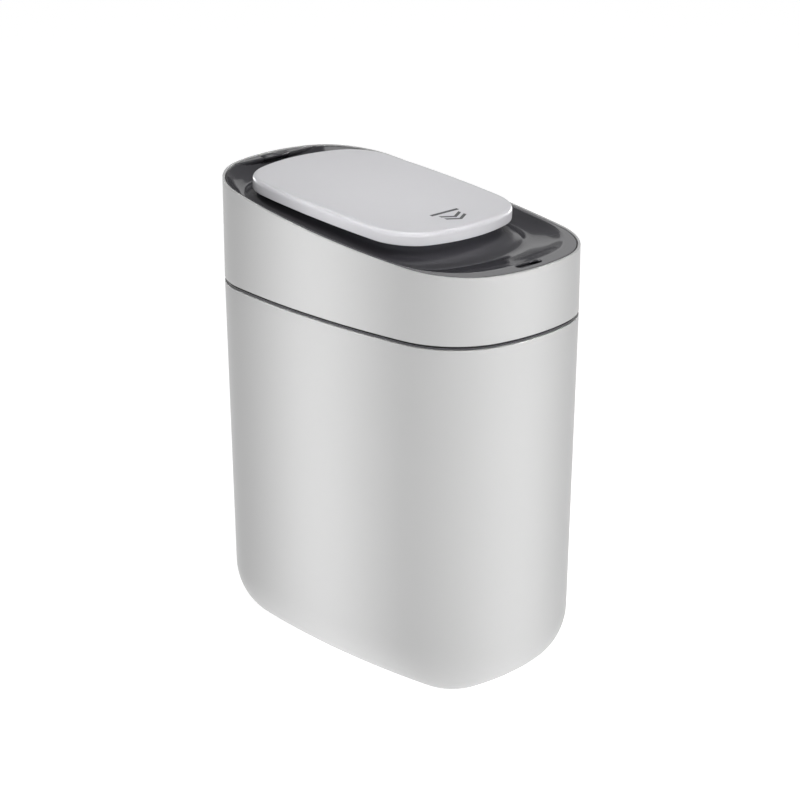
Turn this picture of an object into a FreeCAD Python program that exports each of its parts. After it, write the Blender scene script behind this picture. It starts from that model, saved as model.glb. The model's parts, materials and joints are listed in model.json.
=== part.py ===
import FreeCAD, Part
import math
import os
import Sketcher
from FreeCAD import Placement, Rotation, Vector

# Slim free-standing bin with a hand-worked compactor in its lid.
# +X is the width, -Y the front, +Z up. The origin is on the floor, in the middle of the footprint.
# A light pad on two rods carries a press plate inside the inner bucket. The pad is pulled up and
# pushed down again. The deck around it is a lid that hinges at the rear of the collar.

os.makedirs("parts", exist_ok=True)
doc = FreeCAD.newDocument("trash_compactor")
sheet = doc.addObject("Spreadsheet::Sheet", "Sheet")

# Driving dimensions in millimetres (slopes and angles as named).
DIMS = {
    # Outline of shell and collar: bowed sides and ends, joined by round corners
    "body_centre": 0.0, "body_half_width": 94.5, "body_half_length": 155.0,
    "body_side_bow": 727.0, "body_end_bow": 183.0, "body_corner": 63.5,
    # Inner edge of the deck's flat land
    "land_centre": 6.2, "land_half_width": 90.6, "land_half_length": 144.6,
    "land_side_bow": 700.0, "land_end_bow": 172.0, "land_corner": 58.0,
    # Lowest line of the bowl round the pad
    "valley_centre": 16.5, "valley_half_width": 78.0, "valley_half_length": 120.0,
    "valley_side_bow": 780.0, "valley_end_bow": 158.0, "valley_corner": 46.0,
    # Top of the neck under the pad, which has the same centre
    "neck_centre": 18.8, "neck_half_width": 62.0, "neck_half_length": 94.5,
    "neck_side_bow": 806.0, "neck_end_bow": 138.0, "neck_corner": 29.0,
    # Pad, in its own tilted frame
    "pad_centre": 0.0, "pad_half_width": 73.1, "pad_half_length": 105.9,
    "pad_side_bow": 817.0, "pad_end_bow": 149.0, "pad_corner": 40.0,
    # Press plate and the lid's inner liner
    "plate_centre": 7.0, "plate_half_width": 75.0, "plate_half_length": 114.0,
    "plate_side_bow": 760.0, "plate_end_bow": 150.0, "plate_corner": 44.0,
    "liner_centre": 4.0, "liner_half_width": 85.0, "liner_half_length": 141.5,
    "liner_side_bow": 700.0, "liner_end_bow": 170.0, "liner_corner": 54.0,
    # Heights
    "foot_height": 1.2, "shell_top": 308.5, "draft": 0.0153, "collar_bottom": 311.5,
    "rim_front": 364.2, "rim_rear": 400.0, "rim_radius": 3800.0,
    # Walls and clearances
    "shell_wall": 2.5, "shell_round": 55.0, "bucket_inset": 5.5, "bucket_wall": 2.0,
    "bucket_round": 50.0, "bucket_bottom": 7.0, "collar_wall": 2.2, "flange_thick": 2.0,
    "body_gap": 0.3, "deck_wall": 2.2, "deck_inset": 2.9, "deck_drop": 0.6,
    # Bowl of the deck, measured from the plane through the front and rear rim
    "valley_depth": 12.5, "neck_gap": 0.5,
    # Pad and rods
    "pad_top": 393.0, "pad_slope": 0.081, "pad_thick": 10.7, "pad_wall": 2.4, "pad_round": 3.6,
    "rod_radius": 5.0, "rod_spread": 50.0, "bush_wall": 2.45, "running_gap": 0.05,
    "plate_bottom": 272.0, "plate_thick": 3.0, "rib_height": 6.0, "rib_thick": 2.4,
    # Lid
    "hinge_y": 149.5, "hinge_z": 396.4, "hinge_pin_radius": 1.2, "knuckle_radius": 2.7,
    "knuckle_half": 14.0, "frame_barrel_radius": 3.4, "hinge_half": 24.0,
    "liner_bottom": 340.0, "liner_thick": 2.3,
    "ledge_top": 356.0, "ledge_front": 146.0, "ledge_half": 44.0,
    "lock_y": -143.2, "lock_slot_length": 27.0, "lock_slot_width": 6.0,
    "lock_knob_length": 16.0, "lock_knob_width": 5.2,
    "magnet_half": 7.0, "magnet_front": -147.4, "magnet_rear": -142.6, "magnet_thick": 3.0,
    # Small parts
    "foot_radius": 8.0, "foot_thick": 2.1, "foot_recess": 1.0,
    "grip_height": 284.0, "grip_length": 80.0, "grip_width": 16.0,
    "screw_radius": 1.4, "screw_head_radius": 2.6, "screw_head_height": 1.8,
}


class Size:
    """A number and the spreadsheet expression that gives it."""

    def __init__(self, value, text):
        self.value = value
        self.text = text

    def __add__(self, other):
        other = as_size(other)
        return Size(self.value + other.value, f"({self.text} + {other.text})")

    def __sub__(self, other):
        other = as_size(other)
        return Size(self.value - other.value, f"({self.text} - {other.text})")

    def __mul__(self, other):
        other = as_size(other)
        return Size(self.value * other.value, f"({self.text} * {other.text})")


def as_size(number):
    return number if isinstance(number, Size) else Size(float(number), f"({float(number):.6f})")


def dim(alias):
    return Size(DIMS[alias], f"Sheet.{alias}")


for row, (alias, value) in enumerate(DIMS.items(), start=1):
    sheet.set(f"A{row}", alias)
    sheet.set(f"B{row}", str(value))
    sheet.setAlias(f"B{row}", alias)
doc.recompute()

nodes = {}


def keep(label, item):
    """Names a finished sub-part, which is written to its own file."""
    item.Label = label
    nodes[label] = item
    return item


def bind(item, **sizes):
    for name, size in sizes.items():
        size = as_size(size)
        setattr(item, name, size.value)
        item.setExpression(name, size.text)


def place(item, x=0.0, y=0.0, z=0.0, rotation=Rotation()):
    x, y, z = as_size(x), as_size(y), as_size(z)
    item.Placement = Placement(Vector(x.value, y.value, z.value), rotation)
    for axis, size in (("x", x), ("y", y), ("z", z)):
        item.setExpression(f".Placement.Base.{axis}", size.text)
    return item


# Plain building blocks
def cylinder(name, radius, height, x=0.0, y=0.0, z=0.0, rotation=Rotation()):
    item = doc.addObject("Part::Cylinder", name)
    bind(item, Radius=radius, Height=height)
    return place(item, x, y, z, rotation)


def box(name, x, y, z):
    """A block between a low and a high value on each axis."""
    item = doc.addObject("Part::Box", name)
    spans = [(as_size(low), as_size(high)) for low, high in (x, y, z)]
    lengths = [high - low for low, high in spans]
    bind(item, Length=lengths[0], Width=lengths[1], Height=lengths[2])
    return place(item, *(low for low, high in spans))


def fuse(name, *items):
    item = doc.addObject("Part::MultiFuse", name)
    item.Shapes = list(items)
    return item


def cut(name, base, *tools):
    item = doc.addObject("Part::Cut", name)
    item.Base = base
    item.Tool = tools[0] if len(tools) == 1 else fuse(f"{name}_tools", *tools)
    return item


def common(name, *items):
    item = doc.addObject("Part::MultiCommon", name)
    item.Shapes = list(items)
    return item


# Sketches
def limit(sketch, label, kind, size, *refs):
    """A sketch dimension with a name, bound to the spreadsheet."""
    size = as_size(size)
    number = sketch.addConstraint(Sketcher.Constraint(kind, *refs, size.value))
    sketch.renameConstraint(number, label)
    sketch.setExpression(f"Constraints.{label}", size.text)


def new_body(name):
    return doc.addObject("PartDesign::Body", name)


def origin_plane(body, role):
    return next(feature for feature in body.Origin.OriginFeatures if feature.Role == role)


def new_sketch(body, name, role="XY_Plane", height=0.0, tilt=0.0):
    """A sketch on one of the body's own planes, raised and tilted about X (tilt in degrees)."""
    height = as_size(height)
    sketch = body.newObject("Sketcher::SketchObject", name)
    sketch.AttachmentSupport = [(origin_plane(body, role), "")]
    sketch.MapMode = "FlatFace"
    rotation = Rotation(Vector(1, 0, 0), tilt)
    sketch.AttachmentOffset = Placement(Vector(0, 0, height.value), rotation)
    sketch.setExpression(".AttachmentOffset.Base.z", height.text)
    return sketch


def outline_sizes(first, last=None, share=0.0, inset=0.0):
    """Sizes of an outline a share of the way from one to another, moved inwards by inset."""
    sizes = {}
    for part in ("centre", "half_width", "half_length", "side_bow", "end_bow", "corner"):
        size = dim(f"{first}_{part}")
        if last is not None:
            size = size * (1.0 - share) + dim(f"{last}_{part}") * share
        sizes[part] = size if part == "centre" else size - inset
    return sizes


def add_outline(sketch, sizes):
    """Closed outline of eight arcs, each tangent to the next, bound to the spreadsheet."""
    number = {part: size.value for part, size in sizes.items()}
    middle = number["centre"]
    side_x = number["half_width"] - number["side_bow"]
    end_y = number["half_length"] - number["end_bow"]
    reach_side = number["side_bow"] - number["corner"]
    reach_end = number["end_bow"] - number["corner"]
    # The corner's centre is reach_side from the side's centre and reach_end from the end's.
    span = math.hypot(side_x, end_y)
    along = (reach_side ** 2 - reach_end ** 2 + span ** 2) / (2 * span)
    across = math.sqrt(reach_side ** 2 - along ** 2)
    unit_x, unit_y = -side_x / span, end_y / span
    corner_x = side_x + unit_x * along + unit_y * across
    corner_y = unit_y * along - unit_x * across
    if corner_x + corner_y < 0 or corner_x < 0 or corner_y < 0:
        corner_x = side_x + unit_x * along - unit_y * across
        corner_y = unit_y * along + unit_x * across
    side_turn = math.atan2(corner_y, corner_x - side_x)
    end_turn = math.atan2(corner_y - end_y, corner_x)
    quarter, half = math.pi / 2, math.pi
    arcs = []
    for centre_x, centre_y, part, start, stop in (
        (side_x, 0, "side_bow", -side_turn, side_turn),
        (corner_x, corner_y, "corner", side_turn, end_turn),
        (0, end_y, "end_bow", end_turn, half - end_turn),
        (-corner_x, corner_y, "corner", half - end_turn, half - side_turn),
        (-side_x, 0, "side_bow", half - side_turn, half + side_turn),
        (-corner_x, -corner_y, "corner", half + side_turn, half + end_turn),
        (0, -end_y, "end_bow", half + end_turn, 2 * half - end_turn),
        (corner_x, -corner_y, "corner", -end_turn, -side_turn),
    ):
        circle = Part.Circle(Vector(centre_x, centre_y + middle, 0), Vector(0, 0, 1), number[part])
        arcs.append(sketch.addGeometry(Part.ArcOfCircle(circle, start, stop), False))
    tag = f"o{arcs[0]}"
    for index, arc in enumerate(arcs):
        following = arcs[(index + 1) % len(arcs)]
        sketch.addConstraint(Sketcher.Constraint("Tangent", arc, 2, following, 1))
    side_offset = sizes["side_bow"] - sizes["half_width"]
    end_offset = sizes["end_bow"] - sizes["half_length"]
    centre = sizes["centre"]
    for arc, part in zip(arcs, ("side_bow", "corner", "end_bow", "corner") * 2):
        limit(sketch, f"{tag}_radius{arc}", "Radius", sizes[part], arc)
    for arc, x, y in ((arcs[0], as_size(0) - side_offset, centre),
                      (arcs[2], as_size(0), centre - end_offset),
                      (arcs[4], side_offset, centre),
                      (arcs[6], as_size(0), centre + end_offset)):
        limit(sketch, f"{tag}_x{arc}", "DistanceX", x, -1, 1, arc, 3)
        limit(sketch, f"{tag}_y{arc}", "DistanceY", y, -1, 1, arc, 3)


def add_polygon(sketch, points):
    """Closed polygon with every corner bound to its two sizes."""
    count = len(points)
    corners = [(as_size(x), as_size(y)) for x, y in points]
    lines = []
    for index in range(count):
        start, stop = corners[index], corners[(index + 1) % count]
        segment = Part.LineSegment(
            Vector(start[0].value, start[1].value, 0), Vector(stop[0].value, stop[1].value, 0))
        lines.append(sketch.addGeometry(segment, False))
    for index in range(count):
        sketch.addConstraint(
            Sketcher.Constraint("Coincident", lines[index - 1], 2, lines[index], 1))
        for kind, size in zip(("DistanceX", "DistanceY"), corners[index]):
            limit(sketch, f"p{lines[index]}_{kind}", kind, size, -1, 1, lines[index], 1)


def add_slot(sketch, middle_x, middle_y, length, width):
    """A slot with round ends, along the sketch's X."""
    radius = as_size(width) * 0.5
    reach = as_size(length) * 0.5 - radius
    middle_x, middle_y = as_size(middle_x), as_size(middle_y)
    low, high = middle_x.value - reach.value, middle_x.value + reach.value
    floor, top = middle_y.value - radius.value, middle_y.value + radius.value
    quarter = math.pi / 2
    ends = []
    for x, start in ((high, -quarter), (low, quarter)):
        circle = Part.Circle(Vector(x, middle_y.value, 0), Vector(0, 0, 1), radius.value)
        ends.append(sketch.addGeometry(Part.ArcOfCircle(circle, start, start + 2 * quarter), False))
    sides = [sketch.addGeometry(Part.LineSegment(Vector(x, y, 0), Vector(next_x, y, 0)), False)
             for x, next_x, y in ((high, low, top), (low, high, floor))]
    right, left = ends
    for first, second in ((right, sides[0]), (sides[0], left), (left, sides[1]), (sides[1], right)):
        sketch.addConstraint(Sketcher.Constraint("Tangent", first, 2, second, 1))
    limit(sketch, "slot_radius", "Radius", radius, right)
    limit(sketch, "slot_x", "DistanceX", middle_x + reach, -1, 1, right, 3)
    limit(sketch, "slot_y", "DistanceY", middle_y, -1, 1, right, 3)
    limit(sketch, "slot_reach", "DistanceX", reach * 2.0, left, 3, right, 3)


def pad(body, sketch, length, midplane=False):
    feature = body.newObject("PartDesign::Pad", f"{sketch.Name}_pad")
    feature.Profile = sketch
    bind(feature, Length=length)
    feature.SideType = "Symmetric" if midplane else "One side"
    return feature


def loft(body, sketches, ruled):
    feature = body.newObject("PartDesign::AdditiveLoft", f"{sketches[0].Name}_loft")
    feature.Profile = sketches[0]
    feature.Sections = sketches[1:]
    feature.Ruled = ruled
    return feature


def prism(name, low, high, *outlines):
    """An upright prism of an outline, or a ring between two."""
    body = new_body(name)
    sketch = new_sketch(body, f"{name}_sketch", height=low)
    for sizes in outlines:
        add_outline(sketch, sizes)
    pad(body, sketch, as_size(high) - low)
    return body


def block(name, low, high, points):
    """An upright prism of a polygon."""
    body = new_body(name)
    sketch = new_sketch(body, f"{name}_sketch", height=low)
    add_polygon(sketch, points)
    pad(body, sketch, as_size(high) - low)
    return body


# Forms shared by several sub-parts
def tapered_form(name, low, high, inset, rounding):
    """Drafted solid with a large rounding at its foot, narrower downwards."""
    body = new_body(name)
    low, high, inset, rounding = (as_size(size) for size in (low, high, inset, rounding))

    def level(label, height, extra):
        sketch = new_sketch(body, f"{name}_{label}", height=height)
        slope = (dim("shell_top") - height) * dim("draft")
        add_outline(sketch, outline_sizes("body", inset=inset + slope + extra))
        return sketch

    steps = 6
    foot = []
    for step in range(steps + 1):
        turn = step * math.pi / 2 / steps
        rise = rounding * (1 - math.cos(turn))
        foot.append(level(f"foot{step}", low + rise, rounding * (1 - math.sin(turn))))
    loft(body, foot, ruled=False)
    loft(body, [level("wall", low + rounding, 0.0), level("mouth", high, 0.0)], ruled=True)
    return body


def above_rim(name, drop):
    """Everything above the sloped, slightly hollow rim, lowered by drop."""
    body = new_body(name)
    sketch = new_sketch(body, f"{name}_sketch", role="YZ_Plane")
    reach, top, drop = as_size(200), as_size(470), as_size(drop)
    half, front, rear = dim("body_half_length"), dim("rim_front") - drop, dim("rim_rear") - drop
    chord = math.hypot(2 * half.value, rear.value - front.value)
    tilt = math.atan2(rear.value - front.value, 2 * half.value)
    lift = math.sqrt(DIMS["rim_radius"] ** 2 - chord ** 2 / 4)
    centre = Vector(-lift * math.sin(tilt), (front.value + rear.value) / 2 + lift * math.cos(tilt), 0)
    circle = Part.Circle(centre, Vector(0, 0, 1), DIMS["rim_radius"])
    start = math.atan2(front.value - centre.y, -half.value - centre.x)
    stop = math.atan2(rear.value - centre.y, half.value - centre.x)
    arc = sketch.addGeometry(Part.ArcOfCircle(circle, start, stop), False)
    corners = ((half, rear), (reach, rear), (reach, top), (as_size(0) - reach, top),
               (as_size(0) - reach, front), (as_size(0) - half, front))
    lines = []
    for (x, y), (next_x, next_y) in zip(corners, corners[1:]):
        segment = Part.LineSegment(
            Vector(x.value, y.value, 0), Vector(next_x.value, next_y.value, 0))
        lines.append(sketch.addGeometry(segment, False))
    sketch.addConstraint(Sketcher.Constraint("Coincident", arc, 2, lines[0], 1))
    for first, second in zip(lines, lines[1:]):
        sketch.addConstraint(Sketcher.Constraint("Coincident", first, 2, second, 1))
    sketch.addConstraint(Sketcher.Constraint("Coincident", lines[-1], 2, arc, 1))
    for line, (x, y) in zip(lines + [lines[-1]], corners):
        end = 2 if (x, y) == corners[-1] else 1
        for kind, size in (("DistanceX", x), ("DistanceY", y)):
            limit(sketch, f"c{line}_{end}_{kind}", kind, size, -1, 1, line, end)
    limit(sketch, "rim_radius", "Radius", dim("rim_radius"), arc)
    pad(body, sketch, 300, midplane=True)
    return body


RIM_SLOPE = (DIMS["rim_rear"] - DIMS["rim_front"]) / (2 * DIMS["body_half_length"])
RIM_TILT = math.degrees(math.atan(RIM_SLOPE))
RIM_MIDDLE = (dim("rim_front") + dim("rim_rear")) * 0.5


def tilted_loft(name, levels):
    """Loft through outlines on planes that lie parallel to the rim's slope."""
    body = new_body(name)
    sketches = []
    for index, (depth, sizes) in enumerate(levels):
        sketch = new_sketch(body, f"{name}_{index}", height=RIM_MIDDLE - depth, tilt=RIM_TILT)
        add_outline(sketch, sizes)
        sketches.append(sketch)
    loft(body, sketches, ruled=False)
    return body


def bowl_form(name, skin):
    """Space of the bowl round the pad; skin moves it outwards and down for the underside."""
    floor = dim("valley_depth") + skin
    return tilted_loft(name, (
        (skin - 14.0, outline_sizes("land", inset=as_size(-0.5) - skin)),
        (skin - 5.0, outline_sizes("land", inset=as_size(-0.3) - skin)),
        (skin + 2.6, outline_sizes("land", "valley", 0.07, as_size(0) - skin)),
        (floor - 4.6, outline_sizes("land", "valley", 0.42, as_size(0) - skin)),
        (floor - 0.9, outline_sizes("land", "valley", 0.82, as_size(0) - skin)),
        (floor, outline_sizes("land", "valley", 1.0, as_size(0) - skin)),
    ))


def neck_form(name, skin):
    """Flared neck that rises from the bowl to the pad."""
    floor = dim("valley_depth") + skin
    return tilted_loft(name, (
        (floor + 0.5, outline_sizes("valley", "neck", -0.06, skin)),
        (floor - 1.6, outline_sizes("valley", "neck", 0.22, skin)),
        (floor - 5.0, outline_sizes("valley", "neck", 0.60, skin)),
        (floor - 10.0, outline_sizes("valley", "neck", 0.88, skin)),
        (floor - 18.0, outline_sizes("valley", "neck", 1.0, skin)),
        (floor - 30.0, outline_sizes("valley", "neck", 1.0, skin)),
    ))


PAD_TILT = math.degrees(math.atan(DIMS["pad_slope"]))
PAD_TURN = Rotation(Vector(1, 0, 0), PAD_TILT)


def place_on_pad(item):
    return place(item, 0, dim("neck_centre"), dim("pad_top"), PAD_TURN)


def below_pad(name, gap):
    """Everything below the pad's underside, lowered by gap."""
    item = box(name, (-150, 150), (-200, 200), (-200, as_size(0) - dim("pad_thick") - gap))
    turned = fuse(f"{name}_turned", item, box(f"{name}_core", (-1, 1), (-1, 1), (-150, -100)))
    return place_on_pad(turned)


def along_x(name, radius, low, high, y, z):
    """A cylinder along X."""
    return cylinder(name, radius, as_size(high) - low, low, y, z, Rotation(Vector(0, 1, 0), 90))


def outline_x(y, inset):
    """X of the body's side bow at y."""
    return DIMS["body_half_width"] - inset - y ** 2 / (2 * DIMS["body_side_bow"])


def pick(name, items):
    """A group of identical separate pieces."""
    group = doc.addObject("Part::Compound", name)
    group.Links = list(items)
    return group


def screw(name, x, y, seat, length, upright=1):
    """Round-headed screw; its head lies on seat, its shank runs away from the head."""
    head_low = seat if upright > 0 else seat - dim("screw_head_height")
    head = cylinder(f"{name}_head", dim("screw_head_radius"), dim("screw_head_height"), x, y, head_low)
    shank_low = as_size(seat) - length if upright > 0 else as_size(seat)
    shank = cylinder(f"{name}_shank", dim("screw_radius"), length, x, y, shank_low)
    return fuse(name, head, shank)


# Shell and feet
FOOT_SPOTS = [(x, y) for x in (-23.0, 23.0) for y in (-78.0, 78.0)]
SHELL_FLOOR = dim("foot_height") + dim("shell_wall")


def make_shell():
    outside = tapered_form("shell_outside", dim("foot_height"), dim("shell_top"), 0.0,
                           dim("shell_round"))
    inside = tapered_form("shell_inside", SHELL_FLOOR, dim("shell_top") + 5.0, dim("shell_wall"),
                          dim("shell_round") - dim("shell_wall"))
    recesses = [cylinder(f"foot_recess{i}", dim("foot_radius") + 0.2, dim("foot_recess"), x, y,
                         dim("foot_height"))
                for i, (x, y) in enumerate(FOOT_SPOTS)]
    keep("outer_shell", cut("outer_shell", outside, inside, *recesses))
    feet = [cylinder(f"foot{i}", dim("foot_radius"), dim("foot_thick"), x, y, 0.0)
            for i, (x, y) in enumerate(FOOT_SPOTS)]
    keep("foot_pads", pick("foot_pads", feet))


# Bucket and the ring that holds the bag
def make_bucket():
    wall = dim("bucket_wall")
    inner_inset = dim("bucket_inset") + wall
    rim_low = dim("shell_top") + dim("body_gap")
    rim_high = rim_low + 1.2
    outside = tapered_form("bucket_outside", dim("bucket_bottom"), rim_high,
                           dim("bucket_inset"), dim("bucket_round"))
    flange = prism("bucket_flange", rim_low, rim_high, outline_sizes("body", inset=1.2))
    inside = tapered_form("bucket_inside", dim("bucket_bottom") + wall, rim_high + 5.0,
                          inner_inset, dim("bucket_round") - wall)
    grip = new_body("bucket_grips")
    sketch = new_sketch(grip, "bucket_grip_sketch", role="XZ_Plane")
    add_slot(sketch, 0.0, dim("grip_height"), dim("grip_length"), dim("grip_width"))
    pad(grip, sketch, 400, midplane=True)
    keep("inner_bucket", cut("inner_bucket", fuse("bucket_block", outside, flange), inside, grip))
    skirt = prism("ring_skirt", 294.0, 311.2, outline_sizes("body", inset=8.3),
                  outline_sizes("body", inset=9.9))
    lip = prism("ring_lip", 310.3, 311.2, outline_sizes("body", inset=6.0),
                outline_sizes("body", inset=9.9))
    keep("bag_ring", fuse("bag_ring", skirt, lip))


# Head: collar, frame, seal and hinge pin
FRAME_SCREW_INSET = 6.9
FRAME_SCREW_SPOTS = [
    (side * outline_x(y, FRAME_SCREW_INSET), y) for side in (-1, 1) for y in (-62.0, 62.0)
] + [(0.0, end * (DIMS["body_half_length"] - FRAME_SCREW_INSET)) for end in (-1, 1)]
CATCH_SPOTS = (-29.0, 29.0)
HINGE_AT = (dim("hinge_y"), dim("hinge_z"))


def rim_prism(name, low, drop, *outlines):
    """An upright prism with the rim's slope as its top."""
    return cut(f"{name}_trim", prism(name, low, 420.0, *outlines), above_rim(f"{name}_above", drop))


def make_head():
    flange_top = dim("collar_bottom") + dim("flange_thick")
    shell = rim_prism("collar_block", dim("collar_bottom"), 0.0, outline_sizes("body"))
    room = prism("collar_room", flange_top, 425.0, outline_sizes("body", inset=dim("collar_wall")))
    mouth = prism("collar_mouth", 300.0, 320.0, outline_sizes("body", inset=9.6))
    holes = [cylinder(f"collar_hole{i}", dim("screw_radius"), 4.0, x, y, 310.5)
             for i, (x, y) in enumerate(FRAME_SCREW_SPOTS)]
    keep("collar", cut("collar", shell, room, mouth, *holes))

    fit = dim("collar_wall") + 0.1
    foot_low, foot_high = flange_top + 0.1, flange_top + 2.5
    foot = prism("frame_foot", foot_low, foot_high, outline_sizes("body", inset=fit),
                 outline_sizes("body", inset=9.6))
    wall = rim_prism("frame_wall", foot_low, 13.0, outline_sizes("body", inset=fit),
                     outline_sizes("body", inset=fit + 1.8))
    half = dim("ledge_half")
    ledge = common("frame_ledge",
                   block("ledge_block", 346.0, dim("ledge_top"), (
                       (as_size(0) - half, -160), (half, -160),
                       (half, as_size(0) - dim("ledge_front")),
                       (as_size(0) - half, as_size(0) - dim("ledge_front")))),
                   prism("ledge_outline", 340.0, 360.0, outline_sizes("body", inset=fit)))
    rear_y = dim("hinge_y") - 0.5
    reach = 47.0
    barrel = along_x("frame_barrel", dim("frame_barrel_radius"), -reach, reach, *HINGE_AT)
    rear = box("frame_rear", (-reach, reach), (rear_y, 160), (380, 405))
    inner = rim_prism("frame_rear_outline", 370.0, dim("deck_drop"), outline_sizes("body", inset=fit))
    hinge = common("frame_hinge", fuse("frame_hinge_block", barrel, rear), inner)
    gap = dim("knuckle_half") + dim("body_gap")
    knuckle_room = along_x("knuckle_room", dim("frame_barrel_radius") + 0.1,
                           as_size(0) - gap, gap, *HINGE_AT)
    back_room = box("knuckle_back_room", (as_size(0) - gap, gap), (rear_y, 160), (392.5, 405))
    pin_hole = along_x("pin_hole", dim("hinge_pin_radius"), as_size(0) - dim("hinge_half"),
                       dim("hinge_half"), *HINGE_AT)
    screw_holes = [cylinder(f"frame_hole{i}", dim("screw_radius"), 6.0, x, y, 312.0)
                   for i, (x, y) in enumerate(FRAME_SCREW_SPOTS)]
    strike_seats = [box(f"strike_seat{i}", (x - 7.0, x + 7.0), (-149.0, -146.4),
                        (dim("ledge_top") - 1.2, dim("ledge_top") + 1.0))
                    for i, x in enumerate(CATCH_SPOTS)]
    lock_notch = box("lock_notch", (-9.0, 0.5), (-152.1, -140.0), (340.0, 360.0))
    lock_pocket = box("lock_pocket", (0.0, 9.5), (-152.1, -140.0), (340.0, dim("ledge_top") - 2.8))
    keep("head_frame", cut("head_frame", fuse("head_frame_block", foot, wall, ledge, hinge),
                           knuckle_room, back_room, pin_hole, *screw_holes, *strike_seats,
                           lock_notch, lock_pocket))
    strikes = [box(f"strike{i}", (x - 7.0, x + 7.0), (-149.0, -146.4),
                   (dim("ledge_top") - 1.2, dim("ledge_top"))) for i, x in enumerate(CATCH_SPOTS)]
    keep("strike_plates", pick("strike_plates", strikes))
    keep("head_seal", prism("head_seal", dim("collar_bottom") - 1.0, dim("collar_bottom"),
                            outline_sizes("body", inset=1.5), outline_sizes("body", inset=5.2)))
    screws = [screw(f"frame_screw{i}", x, y, foot_high, 4.2)
              for i, (x, y) in enumerate(FRAME_SCREW_SPOTS)]
    keep("frame_screws", pick("frame_screws", screws))
    keep("hinge_pin", along_x("hinge_pin", dim("hinge_pin_radius"), as_size(0) - dim("hinge_half"),
                              dim("hinge_half"), *HINGE_AT))


# Lid: deck with bowl and neck, liner, guides, catch, lock and filter
ROD_SPOTS = [(0.0, dim("neck_centre") + side * DIMS["rod_spread"]) for side in (-1, 1)]
BUSH_INNER = dim("rod_radius") + dim("running_gap")
BUSH_OUTER = BUSH_INNER + dim("bush_wall")
POST_SPOTS = [(side * 72.0, y) for side in (-1, 1) for y in (-62.0, 93.0)]
LINER_TOP = dim("liner_bottom") + dim("liner_thick")
LOCK_REST = -4.5
DOOR_Y, DOOR_Z = -134.2, 341.3
DOOR_HALF = 40.5
MAGNET_LOW = dim("ledge_top") + 0.4
MAGNET_HIGH = MAGNET_LOW + dim("magnet_thick")


def bush_top(y):
    """Height of the neck's flat top under the pad, over a rod at y."""
    slope = dim("pad_slope") * (y - dim("neck_centre"))
    return dim("pad_top") - dim("pad_thick") - dim("neck_gap") - dim("deck_wall") + slope - 1.4


def make_deck():
    drop, skin = dim("deck_drop"), dim("deck_wall")
    slab = rim_prism("deck_slab", 330.0, drop, outline_sizes("body", inset=dim("deck_inset")))
    bowl = bowl_form("deck_bowl", as_size(0))
    neck = common("deck_neck", neck_form("deck_neck_form", as_size(0)),
                  below_pad("deck_neck_top", dim("neck_gap")))
    outer = fuse("deck_outer", cut("deck_bowled", slab, bowl), neck)
    under_slab = rim_prism("under_slab", 320.0, drop + skin, outline_sizes("body", inset=-8.0))
    under_bowl = bowl_form("under_bowl", skin)
    under_neck = common("under_neck", neck_form("under_neck_form", skin),
                        below_pad("under_neck_top", dim("neck_gap") + skin))
    under = fuse("deck_under", cut("under_bowled", under_slab, under_bowl), under_neck)
    skin_part = cut("deck_skin", outer, under)
    posts = common("deck_posts", pick("deck_post_group", [
        cylinder(f"deck_post{i}", 4.0, 60.0, x, y, LINER_TOP) for i, (x, y) in enumerate(POST_SPOTS)
    ]), under)
    catch_blocks = common("deck_catch_blocks", pick("deck_catch_group", [
        box(f"deck_catch{i}", (x - 9.0, x + 9.0), (-148.0, -141.8),
            (MAGNET_LOW, 370.0)) for i, x in enumerate(CATCH_SPOTS)]), under)
    knuckle_half = dim("knuckle_half")
    knuckle = along_x("deck_knuckle", dim("knuckle_radius"), as_size(0) - knuckle_half,
                      knuckle_half, *HINGE_AT)
    web = box("deck_web", (as_size(0) - knuckle_half, knuckle_half), (144.0, dim("hinge_y")),
              (dim("hinge_z") - 0.4, dim("hinge_z") + 1.9))
    rear_cut = fuse("deck_rear_cut", along_x("deck_barrel_room", dim("frame_barrel_radius") + 0.4,
                                             -60.0, 60.0, *HINGE_AT),
                    box("deck_back_room", (-60, 60), (dim("hinge_y") - 0.9, 160), (380, 405)))
    plain = cut("deck_plain", fuse("deck_joined", skin_part, posts, catch_blocks), rear_cut)
    rod_holes = [cylinder(f"deck_bush_hole{i}", BUSH_OUTER, 60.0, x, y, LINER_TOP)
                 for i, (x, y) in enumerate(ROD_SPOTS)]
    pin_room = along_x("deck_pin_room", dim("hinge_pin_radius") + dim("running_gap"),
                       -20.0, 20.0, *HINGE_AT)
    magnet_rooms, magnets = (
        [box(f"{name}{i}", (as_size(x) - dim("magnet_half"), as_size(x) + dim("magnet_half")),
             (dim("magnet_front"), dim("magnet_rear")), (MAGNET_LOW, MAGNET_HIGH))
         for i, x in enumerate(CATCH_SPOTS)] for name in ("magnet_room", "magnet"))
    lock_body = new_body("deck_lock_slot")
    lock_sketch = new_sketch(lock_body, "deck_lock_sketch", height=340.0)
    add_slot(lock_sketch, 0.0, dim("lock_y"), dim("lock_slot_length"), dim("lock_slot_width"))
    pad(lock_body, lock_sketch, 40.0)
    post_bores = [cylinder(f"post_bore{i}", dim("screw_radius"), 10.0, x, y, LINER_TOP - 1.0)
                  for i, (x, y) in enumerate(POST_SPOTS)]
    deck = cut("deck", fuse("deck_with_knuckle", plain, knuckle, web), pin_room, lock_body,
               *rod_holes, *magnet_rooms, *post_bores)
    keep("deck", deck)
    keep("catch_magnets", pick("catch_magnets", magnets))
    return under


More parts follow.
